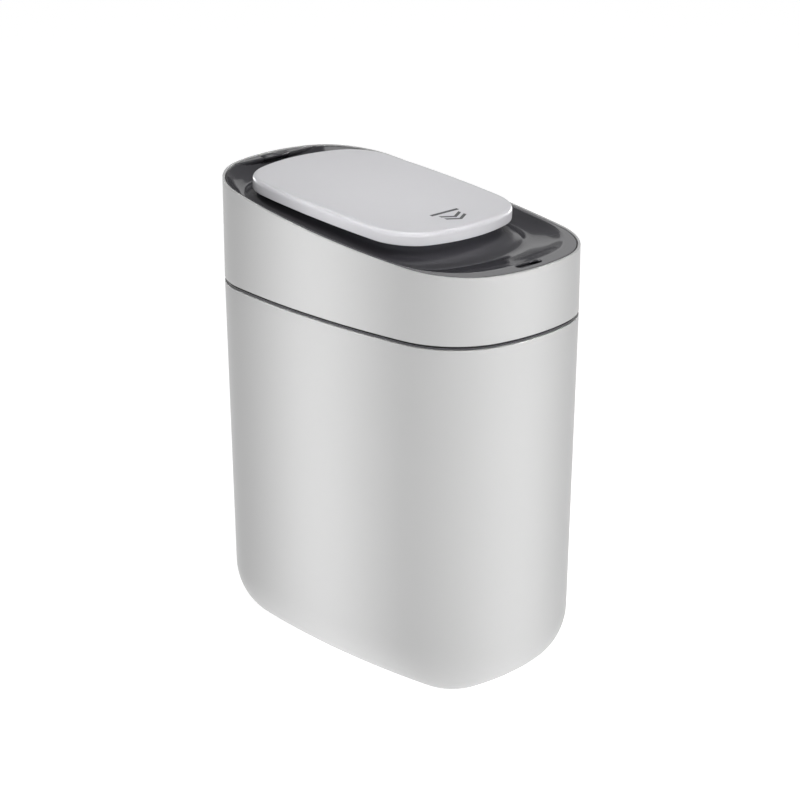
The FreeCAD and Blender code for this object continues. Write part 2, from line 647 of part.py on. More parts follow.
def make_liner(under):
    low, thick = dim("liner_bottom"), 1.8
    tub = prism("liner_tub", low, 420.0, outline_sizes("liner"))
    room = prism("liner_room", LINER_TOP, 425.0, outline_sizes("liner", inset=thick))
    lowered = doc.addObject("Part::Compound", "liner_under")
    lowered.Links = [under]
    place(lowered, 0, 0, -0.5)
    shaped = common("liner_shaped", cut("liner_block", tub, room), lowered)
    door_room = box("liner_door_room", (-41.0, 41.0), (-136.2, -113.0), (330.0, 345.0))
    bushes = [cylinder(f"liner_bush_hole{i}", BUSH_OUTER, 20.0, x, y, 330.0)
              for i, (x, y) in enumerate(ROD_SPOTS)]
    holes = [cylinder(f"liner_hole{i}", dim("screw_radius") + 0.2, 20.0, x, y, 330.0)
             for i, (x, y) in enumerate(POST_SPOTS)]
    heads = [cylinder(f"liner_head_room{i}", 3.0, 1.3, x, y, low)
             for i, (x, y) in enumerate(POST_SPOTS)]
    pin = along_x("liner_pin_hole", 0.8, -44.0, 44.0, DOOR_Y, DOOR_Z)
    keep("lid_liner", cut("lid_liner", shaped, door_room, pin, *bushes, *holes, *heads))
    screws = []
    for i, (x, y) in enumerate(POST_SPOTS):
        head = cylinder(f"liner_screw_head{i}", 2.6, 1.2, x, y, low)
        shank = cylinder(f"liner_screw_shank{i}", dim("screw_radius"), 9.0, x, y, low + 1.2)
        screws.append(fuse(f"liner_screw{i}", head, shank))
    keep("liner_screws", pick("liner_screws", screws))


def make_filter():
    panel = box("door_panel", (-DOOR_HALF, DOOR_HALF), (DOOR_Y + 1.2, -113.4), (340.0, 342.2))
    barrel = along_x("door_barrel", 1.5, -DOOR_HALF, DOOR_HALF, DOOR_Y, DOOR_Z)
    lip = box("door_lip", (-6.0, 6.0), (-115.0, -113.4), (338.6, 340.0))
    bore = along_x("door_bore", 0.85, -45.0, 45.0, DOOR_Y, DOOR_Z)
    vents = [box(f"door_vent{i}", (x - 1.0, x + 1.0), (-130.0, -117.0), (338.0, 345.0))
             for i, x in enumerate(range(-32, 33, 8))]
    keep("filter_door", cut("filter_door", fuse("door_block", panel, barrel, lip), bore, *vents))
    keep("filter_door_pin", along_x("filter_door_pin", 0.8, -44.0, 44.0, DOOR_Y, DOOR_Z))
    keep("odour_filter", box("odour_filter", (-34.0, 34.0), (-130.5, -114.5), (342.6, 351.0)))


def make_guides():
    bushes, wipers = [], []
    flange_low = dim("liner_bottom") - 2.2
    for i, (x, y) in enumerate(ROD_SPOTS):
        top = bush_top(y)
        tube = cylinder(f"bush_tube{i}", BUSH_OUTER, top - flange_low, x, y, flange_low)
        flange = cylinder(f"bush_flange{i}", 11.0, 2.2, x, y, flange_low)
        bore = cylinder(f"bush_bore{i}", BUSH_INNER, 80.0, x, y, 330.0)
        seat = cylinder(f"bush_seat{i}", 6.6, 2.4, x, y, top - 2.4)
        bushes.append(cut(f"bush{i}", fuse(f"bush_block{i}", tube, flange), bore, seat))
        ring = cylinder(f"wiper_ring{i}", 6.6, 2.4, x, y, top - 2.4)
        bore = cylinder(f"wiper_bore{i}", BUSH_INNER, 5.0, x, y, top - 4.0)
        wipers.append(cut(f"rod_wiper{i}", ring, bore))
    keep("guide_bushes", pick("guide_bushes", bushes))
    keep("rod_wipers", pick("rod_wipers", wipers))


def make_lid_small():
    bumpers = [cylinder(f"bumper{i}", 1.7, 9.0, x, -148.6, dim("ledge_top") + 0.3)
               for i, x in enumerate((-15.5, 15.5))]
    limit = rim_prism("bumper_room", 350.0, dim("deck_drop") + dim("deck_wall"),
                      outline_sizes("body", inset=dim("deck_inset")))
    keep("lid_bumpers", common("lid_bumpers", pick("bumper_group", bumpers), limit))
    # Slide lock: a knob in the slot, and a tongue that moves under the frame's ledge
    knob_body = new_body("lock_knob_body")
    knob_sketch = new_sketch(knob_body, "lock_knob_sketch", height=358.0)
    add_slot(knob_sketch, LOCK_REST, dim("lock_y"), dim("lock_knob_length"), dim("lock_knob_width"))
    pad(knob_body, knob_sketch, 4.8)
    foot = box("lock_foot", (LOCK_REST - 9.0, LOCK_REST + 9.0), (-146.4, -140.2), (358.4, 360.2))
    stem = box("lock_stem", (LOCK_REST - 3.5, LOCK_REST + 3.5), (-145.6, -142.4), (349.4, 359.0))
    tongue = box("lock_tongue", (LOCK_REST - 3.5, LOCK_REST + 3.5), (-149.4, -145.0), (349.4, 352.6))
    keep("lid_lock", fuse("lid_lock", knob_body, foot, stem, tongue))


# Press: pad, rods and plate
PAD_SCREW_SPOTS = [(side * 48.0, y) for side in (-1, 1) for y in (-72.0, 72.0)]


def make_pad():
    thick, wall = dim("pad_thick"), dim("pad_wall")
    under = as_size(0) - thick
    body = new_body("pad_cap_body")
    sketch = new_sketch(body, "pad_cap_sketch", height=under)
    add_outline(sketch, outline_sizes("pad"))
    solid = pad(body, sketch, thick)
    doc.recompute()
    rounding = body.newObject("PartDesign::Fillet", "pad_rounding")
    rounding.Base = (solid, edges_at(solid, 0.0))
    bind(rounding, Radius=dim("pad_round"))
    doc.recompute()
    lower = body.newObject("PartDesign::Fillet", "pad_lower_rounding")
    lower.Base = (rounding, edges_at(rounding, -DIMS["pad_thick"]))
    bind(lower, Radius=0.8)
    body.Tip = lower
    hollow = prism("pad_hollow", under - 1.0, as_size(0) - wall, outline_sizes("pad", inset=wall))
    posts = [cylinder(f"pad_post{i}", 4.0, thick - wall - wall, x, y, under + wall)
             for i, (x, y) in enumerate(PAD_SCREW_SPOTS)]
    bores = [cylinder(f"pad_bore{i}", dim("screw_radius"), 4.0, x, y, under + wall)
             for i, (x, y) in enumerate(PAD_SCREW_SPOTS)]
    mark = make_mark_shape("mark_room", -0.35, 2.0)
    block_with_posts = fuse("pad_cap_block", cut("pad_cap_shell", body, hollow), *posts)
    cap = cut("pad_cap", block_with_posts, mark, *bores)
    keep("press_pad", place_on_pad(cap))
    keep("pad_mark", place_on_pad(make_mark_shape("pad_mark", -0.35, 0.1)))

    plate = prism("pad_base_plate", under, under + wall, outline_sizes("pad", inset=wall + 0.1))
    head_rooms = [cylinder(f"pad_head_room{i}", 2.7, 1.3, x, y, under)
                  for i, (x, y) in enumerate(PAD_SCREW_SPOTS)]
    holes = [cylinder(f"pad_base_hole{i}", dim("screw_radius"), 6.0, x, y, under)
             for i, (x, y) in enumerate(PAD_SCREW_SPOTS)]
    base = place_on_pad(cut("pad_base_flat", plate, *head_rooms, *holes))
    rod_rooms = [cylinder(f"base_rod_room{i}", dim("rod_radius"), 60.0, x, y, 350.0)
                 for i, (x, y) in enumerate(ROD_SPOTS)]
    keep("pad_base", cut("pad_base", base, *rod_rooms))
    screws = []
    for i, (x, y) in enumerate(PAD_SCREW_SPOTS):
        head = cylinder(f"pad_screw_head{i}", dim("screw_head_radius"), 1.2, x, y, under + 0.1)
        shank = cylinder(f"pad_screw_shank{i}", dim("screw_radius"), 4.9, x, y, under + 1.3)
        screws.append(fuse(f"pad_screw{i}", head, shank))
    keep("pad_screws", place_on_pad(pick("pad_screws", screws)))


def edges_at(feature, height):
    """Names of the feature's edges that lie at one height."""
    return [f"Edge{index}" for index, edge in enumerate(feature.Shape.Edges, start=1)
            if abs(edge.BoundBox.ZMin - height) < 1e-4 and abs(edge.BoundBox.ZMax - height) < 1e-4]


def make_mark_shape(name, low, high):
    """Plain press-down sign: a bar over a chevron, at the pad's front."""
    middle, bar_half, arm = -78.0, 15.0, 11.0
    bar = block(f"{name}_bar", low, high, (
        (-bar_half, middle + 5.0), (bar_half, middle + 5.0),
        (bar_half, middle + 8.0), (-bar_half, middle + 8.0)))
    chevrons = []
    for index, top in enumerate((middle + 2.0, middle - 4.0)):
        chevrons.append(block(f"{name}_chevron{index}", low, high, (
            (-arm, top), (0.0, top - 6.0), (arm, top), (arm, top - 3.0),
            (0.0, top - 9.0), (-arm, top - 3.0))))
    return pick(name, [bar] + chevrons)


def make_press():
    low, thick = dim("plate_bottom"), dim("plate_thick")
    top = low + thick
    rods = []
    for i, (x, y) in enumerate(ROD_SPOTS):
        height = dim("pad_top") - dim("pad_wall") - 2.0 + dim("pad_slope") * (y - dim("neck_centre"))
        rod = cylinder(f"rod{i}", dim("rod_radius"), height - top, x, y, top)
        rods.append(cut(f"rod_bored{i}", rod, cylinder(f"rod_bore{i}", 2.0, 14.0, x, y, top)))
    keep("guide_rods", pick("guide_rods", rods))
    disc = prism("plate_disc", low, top, outline_sizes("plate"))
    rib_top = top + dim("rib_height")
    half_rib = dim("rib_thick") * 0.5
    ribs = [box(f"long_rib{i}", (as_size(x) - half_rib, as_size(x) + half_rib), (-88.0, 102.0),
                (top, rib_top)) for i, x in enumerate((-38.0, 38.0))]
    for i, (x, y) in enumerate(ROD_SPOTS):
        ribs.append(box(f"cross_rib{i}", (-58.0, 58.0), (y - half_rib, y + half_rib), (top, rib_top)))
        ribs.append(cylinder(f"plate_hub{i}", 9.0, dim("rib_height"), x, y, top))
    ribs.append(box("middle_rib", (as_size(0) - half_rib, half_rib), (-88.0, 102.0), (top, rib_top)))
    sockets = [cylinder(f"plate_socket{i}", dim("rod_radius"), 10.0, x, y, top)
               for i, (x, y) in enumerate(ROD_SPOTS)]
    holes = [cylinder(f"plate_hole{i}", 2.0, 10.0, x, y, low - 2.0)
             for i, (x, y) in enumerate(ROD_SPOTS)]
    keep("press_plate", cut("press_plate", fuse("plate_block", disc, *ribs), *sockets, *holes))
    wiper = prism("wiper_block", low - 1.2, top + 1.2, outline_sizes("plate", inset=-2.5),
                  outline_sizes("plate", inset=2.0))
    groove = prism("wiper_groove", low, top, outline_sizes("plate"))
    keep("plate_wiper", cut("plate_wiper", wiper, groove))
    screws = []
    for i, (x, y) in enumerate(ROD_SPOTS):
        head = cylinder(f"plate_screw_head{i}", 4.5, 2.4, x, y, low - 2.4)
        shank = cylinder(f"plate_screw_shank{i}", 2.0, 15.0, x, y, low)
        screws.append(fuse(f"plate_screw{i}", head, shank))
    keep("plate_screws", pick("plate_screws", screws))
    stops = []
    for i, (x, y) in enumerate(ROD_SPOTS):
        ring = cylinder(f"stop_ring{i}", 8.5, 1.2, x, y, rib_top)
        bore = cylinder(f"stop_bore{i}", dim("rod_radius"), 5.0, x, y, rib_top - 1.0)
        stops.append(cut(f"stop{i}", ring, bore))
    keep("bump_stops", pick("bump_stops", stops))


make_shell()
make_bucket()
make_head()
lid_space = make_deck()
make_liner(lid_space)
make_filter()
make_guides()
make_lid_small()
make_pad()
make_press()
doc.recompute()

faults = [f"{item.Name}: {item.State}" for item in doc.Objects
          if "Invalid" in item.State or "Error" in item.State]
for label, item in nodes.items():
    if item.Shape.isNull() or not item.Shape.Solids or not item.Shape.isValid():
        faults.append(f"{label}: shape is null, has no solid or is not valid")
if faults:
    raise SystemExit("\n".join(faults))
for label, item in nodes.items():
    item.Shape.exportStep(f"parts/{label}.step")
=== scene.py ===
import json
import math

import bpy
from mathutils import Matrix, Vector


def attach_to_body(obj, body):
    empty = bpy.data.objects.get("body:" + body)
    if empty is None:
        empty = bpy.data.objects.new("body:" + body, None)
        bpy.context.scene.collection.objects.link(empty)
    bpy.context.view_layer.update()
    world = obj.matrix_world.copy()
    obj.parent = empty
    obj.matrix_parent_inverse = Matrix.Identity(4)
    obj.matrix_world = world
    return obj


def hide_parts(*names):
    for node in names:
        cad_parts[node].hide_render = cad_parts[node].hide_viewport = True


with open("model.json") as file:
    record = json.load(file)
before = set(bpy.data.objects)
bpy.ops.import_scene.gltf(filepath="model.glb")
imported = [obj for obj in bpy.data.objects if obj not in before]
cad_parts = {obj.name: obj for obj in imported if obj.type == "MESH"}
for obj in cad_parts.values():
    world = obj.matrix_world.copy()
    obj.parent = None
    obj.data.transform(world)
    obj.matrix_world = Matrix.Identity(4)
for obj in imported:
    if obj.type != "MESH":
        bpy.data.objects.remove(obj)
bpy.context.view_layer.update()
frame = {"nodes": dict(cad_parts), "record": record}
nodes = frame["nodes"]


# Camera and light
CAMERA_TURN = math.radians(-44.25)
CAMERA_RISE = math.radians(19.92)
CAMERA_DISTANCE = 1.9538
CAMERA_AIM = Vector((0.0, 0.0, 0.2158))
CAMERA_LENS = 106.56
CAMERA_SHIFT = (0.0027, 0.0015)


# Area lights: name, turn and rise in degrees, distance, width and height in metres, watts, spread
LIGHTS = (
    ("left_grid", -91, 4, 1.5, 0.05, 0.5, 0.118, 9.0),
    ("right_grid", -4, 4, 1.5, 0.04, 0.5, 0.100, 8.0),
    ("front_grid", -42, 6, 1.6, 0.10, 0.5, 0.120, 16.0),
    ("rear_softbox", 128, 30, 1.6, 0.95, 0.50, 1.05, 180.0),
    ("far_side_grid", 92, 4, 1.5, 0.08, 0.9, 0.30, 13.0),
    ("far_end_grid", 178, 4, 1.5, 0.06, 0.9, 0.20, 11.0),
    ("top_softbox", -20, 78, 1.5, 1.0, 1.0, 12.0, 180.0),
)
WORLD_STRENGTH = 0.30
FLOOR_REACH, FLOOR_GLOW = 30.0, 0.86


def make_camera():
    back = Vector((math.sin(CAMERA_TURN) * math.cos(CAMERA_RISE),
                   -math.cos(CAMERA_TURN) * math.cos(CAMERA_RISE), math.sin(CAMERA_RISE)))
    data = bpy.data.cameras.new("camera")
    data.lens = CAMERA_LENS
    data.sensor_width = 36.0
    data.shift_x, data.shift_y = CAMERA_SHIFT
    camera = bpy.data.objects.new("camera", data)
    camera.location = CAMERA_AIM + back * CAMERA_DISTANCE
    camera.rotation_euler = (-back).to_track_quat("-Z", "Y").to_euler()
    bpy.context.scene.collection.objects.link(camera)
    bpy.context.scene.camera = camera


def softbox(name, turn, rise, distance, width, height, power, spread):
    """An area light that looks at the middle of the object."""
    turn, rise = math.radians(turn), math.radians(rise)
    away = Vector((math.sin(turn) * math.cos(rise), -math.cos(turn) * math.cos(rise), math.sin(rise)))
    data = bpy.data.lights.new(name, "AREA")
    data.shape = "RECTANGLE"
    data.size, data.size_y = width, height
    data.energy = power
    data.spread = math.radians(spread)
    light = bpy.data.objects.new(name, data)
    light.location = CAMERA_AIM + away * distance
    light.rotation_euler = (-away).to_track_quat("-Z", "Y").to_euler()
    bpy.context.scene.collection.objects.link(light)


def make_lights():
    for light in LIGHTS:
        softbox(*light)
    world = bpy.data.worlds.new("studio")
    world.use_nodes = True
    background = world.node_tree.nodes["Background"]
    background.inputs["Color"].default_value = (1.0, 1.0, 1.0, 1.0)
    background.inputs["Strength"].default_value = WORLD_STRENGTH
    bpy.context.scene.world = world
    bpy.context.scene.view_settings.view_transform = "Standard"


def make_floor():
    mesh = bpy.data.meshes.new("floor")
    reach = FLOOR_REACH
    corners = [(-reach, -reach, 0), (reach, -reach, 0), (reach, reach, 0), (-reach, reach, 0)]
    mesh.from_pydata(corners, [], [(0, 1, 2, 3)])
    floor = bpy.data.objects.new("floor", mesh)
    bpy.context.scene.collection.objects.link(floor)
    material = new_material("floor_paper", (0.40, 0.40, 0.40), 0.9)
    shader = material.node_tree.nodes["Principled BSDF"]
    shader.inputs["Emission Color"].default_value = (1.0, 1.0, 1.0, 1.0)
    shader.inputs["Emission Strength"].default_value = FLOOR_GLOW
    floor.data.materials.append(material)


# Materials
def new_material(name, colour, roughness, metallic=0.0, specular=0.5):
    material = bpy.data.materials.new(name)
    material.use_nodes = True
    shader = material.node_tree.nodes["Principled BSDF"]
    shader.inputs["Base Color"].default_value = (*colour, 1.0)
    shader.inputs["Roughness"].default_value = roughness
    shader.inputs["Metallic"].default_value = metallic
    shader.inputs["Specular IOR Level"].default_value = specular
    return material


def texture_noise(material, scale, detail, stretch=(1.0, 1.0, 1.0)):
    """A noise texture in the object's own space, in metres."""
    tree = material.node_tree
    place = tree.nodes.new("ShaderNodeTexCoord")
    mapping = tree.nodes.new("ShaderNodeMapping")
    mapping.inputs["Scale"].default_value = stretch
    noise = tree.nodes.new("ShaderNodeTexNoise")
    noise.inputs["Scale"].default_value = scale
    noise.inputs["Detail"].default_value = detail
    tree.links.new(place.outputs["Object"], mapping.inputs["Vector"])
    tree.links.new(mapping.outputs["Vector"], noise.inputs["Vector"])
    return noise


def vary_colour(material, noise, dark, light):
    tree = material.node_tree
    ramp = tree.nodes.new("ShaderNodeValToRGB")
    ramp.color_ramp.elements[0].position = 0.3
    ramp.color_ramp.elements[1].position = 0.7
    ramp.color_ramp.elements[0].color = (*dark, 1.0)
    ramp.color_ramp.elements[1].color = (*light, 1.0)
    tree.links.new(noise.outputs["Fac"], ramp.inputs["Fac"])
    tree.links.new(ramp.outputs["Color"], material.node_tree.nodes["Principled BSDF"].inputs["Base Color"])


def vary_roughness(material, noise, low, high):
    tree = material.node_tree
    spread = tree.nodes.new("ShaderNodeMapRange")
    spread.inputs["To Min"].default_value = low
    spread.inputs["To Max"].default_value = high
    tree.links.new(noise.outputs["Fac"], spread.inputs["Value"])
    tree.links.new(spread.outputs["Result"], tree.nodes["Principled BSDF"].inputs["Roughness"])


def add_bump(material, noise, strength, distance):
    tree = material.node_tree
    bump = tree.nodes.new("ShaderNodeBump")
    bump.inputs["Strength"].default_value = strength
    bump.inputs["Distance"].default_value = distance
    tree.links.new(noise.outputs["Fac"], bump.inputs["Height"])
    tree.links.new(bump.outputs["Normal"], tree.nodes["Principled BSDF"].inputs["Normal"])


def plastic(name, colour, spread, roughness, grain, specular=0.5):
    """Moulded plastic: cloudy colour, uneven gloss and a fine grain."""
    material = new_material(name, colour, roughness, specular=specular)
    cloud = texture_noise(material, 9.0, 3.0)
    dark = tuple(part * (1.0 - spread) for part in colour)
    light = tuple(min(1.0, part * (1.0 + spread)) for part in colour)
    vary_colour(material, cloud, dark, light)
    vary_roughness(material, texture_noise(material, 24.0, 1.0), roughness * 0.94, roughness * 1.06)
    add_bump(material, texture_noise(material, 900.0, 2.0), grain, 0.00004)
    return material


def metal(name, colour, roughness, brushed):
    material = new_material(name, colour, roughness, metallic=1.0)
    stretch = (1.0, 1.0, 0.04) if brushed else (1.0, 1.0, 1.0)
    lines = texture_noise(material, 1500.0, 3.0, stretch)
    vary_roughness(material, lines, roughness * 0.7, roughness * 1.4)
    vary_colour(material, lines, tuple(part * 0.93 for part in colour), colour)
    add_bump(material, lines, 0.15, 0.00002)
    return material


def felt(name, colour):
    material = new_material(name, colour, 0.95)
    fibres = texture_noise(material, 900.0, 6.0)
    vary_colour(material, fibres, tuple(part * 0.5 for part in colour), tuple(part * 1.9 for part in colour))
    add_bump(material, fibres, 0.9, 0.0004)
    return material


def make_materials():
    finishes = {
        "white_shell": plastic("white_shell", (0.455, 0.455, 0.455), 0.008, 0.34, 0.03, specular=0.22),
        "pad_light": plastic("pad_light", (0.57, 0.567, 0.588), 0.008, 0.40, 0.04),
        "deck_dark": plastic("deck_dark", (0.044, 0.043, 0.049), 0.05, 0.12, 0.02),
        "dark_plastic": plastic("dark_plastic", (0.056, 0.055, 0.061), 0.05, 0.19, 0.04),
        "grey_plastic": plastic("grey_plastic", (0.22, 0.225, 0.23), 0.04, 0.48, 0.3),
        "black_rubber": plastic("black_rubber", (0.018, 0.018, 0.018), 0.12, 0.78, 0.5),
        "steel": metal("steel", (0.58, 0.58, 0.59), 0.32, True),
        "rod_chrome": metal("rod_chrome", (0.80, 0.80, 0.82), 0.10, False),
        "screw_steel": metal("screw_steel", (0.50, 0.50, 0.51), 0.35, False),
        "magnet_steel": metal("magnet_steel", (0.52, 0.52, 0.54), 0.25, False),
        "filter_fabric": felt("filter_fabric", (0.02, 0.02, 0.02)),
        "mark_grey": plastic("mark_grey", (0.04, 0.04, 0.043), 0.05, 0.45, 0.1),
    }
    for part in frame["record"]["subparts"]:
        data = nodes[part["node"]].data
        finish = finishes[part["material_slot"]]
        if data.materials:
            for index in range(len(data.materials)):
                data.materials[index] = finish
        else:
            data.materials.append(finish)
    return finishes


# Outlines and surfaces of the moulded parts, in millimetres.
# An outline is its centre's y, half width, half length, side bow, end bow and corner radius.
MM = 0.001
STEPS_SIDE, STEPS_CORNER, STEPS_END = 20, 14, 14
BODY = (0.0, 94.5, 155.0, 727.0, 183.0, 63.5)
LAND = (6.2, 90.6, 144.6, 700.0, 172.0, 58.0)
VALLEY = (16.5, 78.0, 120.0, 780.0, 158.0, 46.0)
NECK = (18.8, 62.0, 94.5, 806.0, 138.0, 29.0)
SHELL_TOP, DRAFT = 308.5, 0.0153
PAD_TOP, PAD_THICK = 393.0, 10.7
PAD_UNDER = PAD_TOP - PAD_THICK
PAD_SLOPE, NECK_GAP = 0.081, 0.5
RIM_RUN, RIM_RISE, RIM_MIDDLE, RIM_RADIUS = 310.0, 35.8, 382.1, 3800.0
COLLAR_LOW, FRAME_INSET = 311.5, 9.6
DECK_INSET, DECK_DROP, DECK_LIP = 2.9, 0.6, 0.5
HINGE_Y, HINGE_Z = 149.5, 396.4
KNUCKLE_RADIUS, KNUCKLE_HALF, BARREL_ROOM_RADIUS, PIN_ROOM_RADIUS = 2.7, 14.0, 3.8, 1.25
LOCK_Y, LOCK_LENGTH, LOCK_WIDTH = -143.2, 27.0, 6.0
ROD_PLACES, BUSH_DIAMETER = (-31.2, 68.8), 15.0
CATCH_X, CATCH_HALF, CATCH_Y, CATCH_Z = 29.0, 9.0, (-148.0, -141.8), (356.4, 361.8)
MAGNET_HALF, MAGNET_Y, MAGNET_Z = 7.0, (-147.4, -142.6), (356.0, 359.4)


def inward(outline, distance):
    """The outline moved inwards by a distance: (centre, half width, half length, bows, corner)."""
    return (outline[0],) + tuple(size - distance for size in outline[1:])


def mixed(first, second, share):
    """An outline between two others."""
    return tuple(a + (b - a) * share for a, b in zip(first, second))


def ring(outline):
    """Points round an outline of eight tangent arcs, always the same number, from +X anticlockwise."""
    middle, half_width, half_length, side_bow, end_bow, corner = outline
    side_x, end_y = half_width - side_bow, half_length - end_bow
    reach_side, reach_end = side_bow - corner, end_bow - corner
    span = math.hypot(side_x, end_y)
    along = (reach_side ** 2 - reach_end ** 2 + span ** 2) / (2 * span)
    across = math.sqrt(max(reach_side ** 2 - along ** 2, 0.0))
    unit_x, unit_y = -side_x / span, end_y / span
    corner_x, corner_y = max(
        ((side_x + unit_x * along + sign * unit_y * across, unit_y * along - sign * unit_x * across)
         for sign in (1, -1)), key=lambda spot: min(spot))
    side_turn = math.atan2(corner_y, corner_x - side_x)
    end_turn = math.atan2(corner_y - end_y, corner_x)
    quarter = []
    for centre_x, centre_y, radius, start, stop, steps in (
            (side_x, 0.0, side_bow, 0.0, side_turn, STEPS_SIDE),
            (corner_x, corner_y, corner, side_turn, end_turn, STEPS_CORNER),
            (0.0, end_y, end_bow, end_turn, math.pi / 2, STEPS_END)):
        for step in range(steps):
            turn = start + (stop - start) * step / steps
            quarter.append((centre_x + radius * math.cos(turn), centre_y + radius * math.sin(turn)))
    upper = quarter + [(0.0, half_length)] + [(-x, y) for x, y in reversed(quarter[1:])]
    points = upper + [(-x, -y) for x, y in upper]
    return [(x, y + middle) for x, y in points]


def rim_height(y):
    """Height of the collar's top edge, a slightly hollow arc from front to rear."""
    chord, tilt = math.hypot(RIM_RUN, RIM_RISE), math.atan2(RIM_RISE, RIM_RUN)
    lift = math.sqrt(RIM_RADIUS ** 2 - chord ** 2 / 4)
    centre_y, centre_z = -lift * math.sin(tilt), RIM_MIDDLE + lift * math.cos(tilt)
    return centre_z - math.sqrt(RIM_RADIUS ** 2 - (y - centre_y) ** 2)


def chord_height(y):
    """Height of the straight line from the rim's front to its rear."""
    return RIM_MIDDLE + y * RIM_RISE / RIM_RUN


def skin(name, rings, close_first=False, close_last=False, loop=False):
    """A mesh of quads through rings of points in millimetres, each with the same count."""
    count = len(rings[0])
    vertices = [tuple(value * MM for value in point) for points in rings for point in points]
    faces = []
    spans = len(rings) if loop else len(rings) - 1
    for level in range(spans):
        low, high = level * count, ((level + 1) % len(rings)) * count
        for index in range(count):
            following = (index + 1) % count
            faces.append((low + index, low + following, high + following, high + index))
    if close_first:
        faces.append(tuple(reversed(range(count))))
    if close_last:
        start = (len(rings) - 1) * count
        faces.append(tuple(range(start, start + count)))
    mesh = bpy.data.meshes.new(name)
    mesh.from_pydata(vertices, [], faces)
    mesh.validate()
    for face in mesh.polygons:
        face.use_smooth = True
    piece = bpy.data.objects.new(name, mesh)
    bpy.context.scene.collection.objects.link(piece)
    return piece


def at(outline, height):
    """A level ring, or one whose height is a function of y."""
    if callable(height):
        return [(x, y, height(y)) for x, y in ring(outline)]
    return [(x, y, height) for x, y in ring(outline)]


def arc_steps(steps):
    """Angles over a quarter turn."""
    return [math.pi / 2 * step / steps for step in range(steps + 1)]


def make_shell(finish):
    """Outer shell: drafted wall, big rounding at the foot, soft lip and the wall's inside."""
    foot, rounding, wall, lip = 1.2, 55.0, 2.5, 0.7

    def drafted(height, extra):
        return at(inward(BODY, (SHELL_TOP - height) * DRAFT + extra), height)

    rings = []
    for turn in arc_steps(18):
        height = foot + rounding * (1 - math.cos(turn))
        rings.append(drafted(height, rounding * (1 - math.sin(turn))))
    for share in range(1, 12):
        rings.append(drafted(foot + rounding + (SHELL_TOP - lip - foot - rounding) * share / 11, 0.0))
    for turn in arc_steps(4)[1:]:
        rings.append(drafted(SHELL_TOP - lip * (1 - math.sin(turn)), lip * (1 - math.cos(turn))))
    for turn in arc_steps(4):
        rings.append(drafted(SHELL_TOP - lip * (1 - math.cos(turn)), wall - lip * (1 - math.sin(turn))))
    inner = rounding - wall
    for share in range(10, -1, -1):
        rings.append(drafted(foot + wall + inner + (SHELL_TOP - lip - foot - rounding) * share / 11, wall))
    for turn in reversed(arc_steps(10)[:-1]):
        height = foot + wall + inner * (1 - math.cos(turn))
        rings.append(drafted(height, wall + inner * (1 - math.sin(turn))))
    piece = skin("shell_skin", rings, close_first=True, close_last=True)
    return dress(piece, "bin_body", "outer_shell", "white_shell", finish)


def make_collar(finish):
    """Collar: upright band whose top edge follows the slope, with rounded lips."""
    low, wall, lip, flange = COLLAR_LOW, 2.2, 0.75, 2.0

    def top(drop):
        return lambda y: rim_height(y) - drop

    def between(share):
        return lambda y: low + lip + (rim_height(y) - lip - low - lip) * share

    flange_edge = inward(BODY, FRAME_INSET)
    rings = [at(flange_edge, low + flange), at(flange_edge, low)]
    for turn in arc_steps(4):
        rings.append(at(inward(BODY, lip * (1 - math.sin(turn))), low + lip * (1 - math.cos(turn))))
    for share in range(1, 8):
        rings.append(at(BODY, between(share / 8)))
    for turn in arc_steps(5):
        rings.append(at(inward(BODY, lip * (1 - math.cos(turn))), top(lip * (1 - math.sin(turn)))))
    for turn in arc_steps(5):
        rings.append(at(inward(BODY, wall - lip * (1 - math.sin(turn))), top(lip * (1 - math.cos(turn)))))
    rings.append(at(inward(BODY, wall), between(0.5)))
    rings.append(at(inward(BODY, wall), low + flange))
    piece = skin("collar_skin", rings, loop=True)
    return dress(piece, "head", "collar", "white_shell", finish)


def catmull(points, share):
    """Value on a smooth curve through (position, value) points at a position."""
    last = len(points) - 1
    index = max(i for i in range(last) if points[i][0] <= share or i == 0)
    (x0, y0), (x1, y1) = points[index], points[index + 1]
    before, after = points[max(index - 1, 0)], points[min(index + 2, last)]
    slope0 = (y1 - before[1]) / (x1 - before[0])
    slope1 = (after[1] - y0) / (after[0] - x0)
    step = x1 - x0
    u = (share - x0) / step
    return ((2 * u ** 3 - 3 * u ** 2 + 1) * y0 + (u ** 3 - 2 * u ** 2 + u) * step * slope0
            + (3 * u ** 2 - 2 * u ** 3) * y1 + (u ** 3 - u ** 2) * step * slope1)


# Depth of the deck below the rim's chord: 0 at the land's edge, 1 in the valley, 2 on the neck
DECK_DEPTHS = ((0.0, 1.2), (0.07, 2.7), (0.42, 7.9), (0.82, 11.6), (1.0, 12.35), (1.12, 12.1),
               (1.24, 10.9), (1.60, 7.4), (1.88, 2.5), (2.0, -6.5))
# Places of the rings on the same scale, closer where the surface bends more
DECK_SHARES = (-0.01, 0.02, 0.04, 0.06, 0.08, 0.10, 0.12, 0.17, 0.23, 0.30, 0.38, 0.46, 0.55, 0.64,
               0.73, 0.81, 0.88, 0.94, 1.0, 1.05, 1.10, 1.15, 1.20, 1.27, 1.35, 1.44, 1.53, 1.62,
               1.70, 1.77, 1.83, 1.88, 1.91, 1.94, 1.97, 1.99)
LAND_SHARES = (0.15, 0.35, 0.55, 0.75, 0.9)
NECK_INSETS = (6.0, 20.0, 38.0, 54.0)
DECK_WALL = 2.2
CREASE = 1.3


def soft_least(first, second, reach):
    """The smaller of two heights, with the crease between them rounded off."""
    gap = abs(first - second)
    return min(first, second) - max(reach - gap, 0.0) ** 2 / (4 * reach)


def land_height(y):
    """Height of the deck's flat land, a little below the rim."""
    return rim_height(y) - DECK_DROP


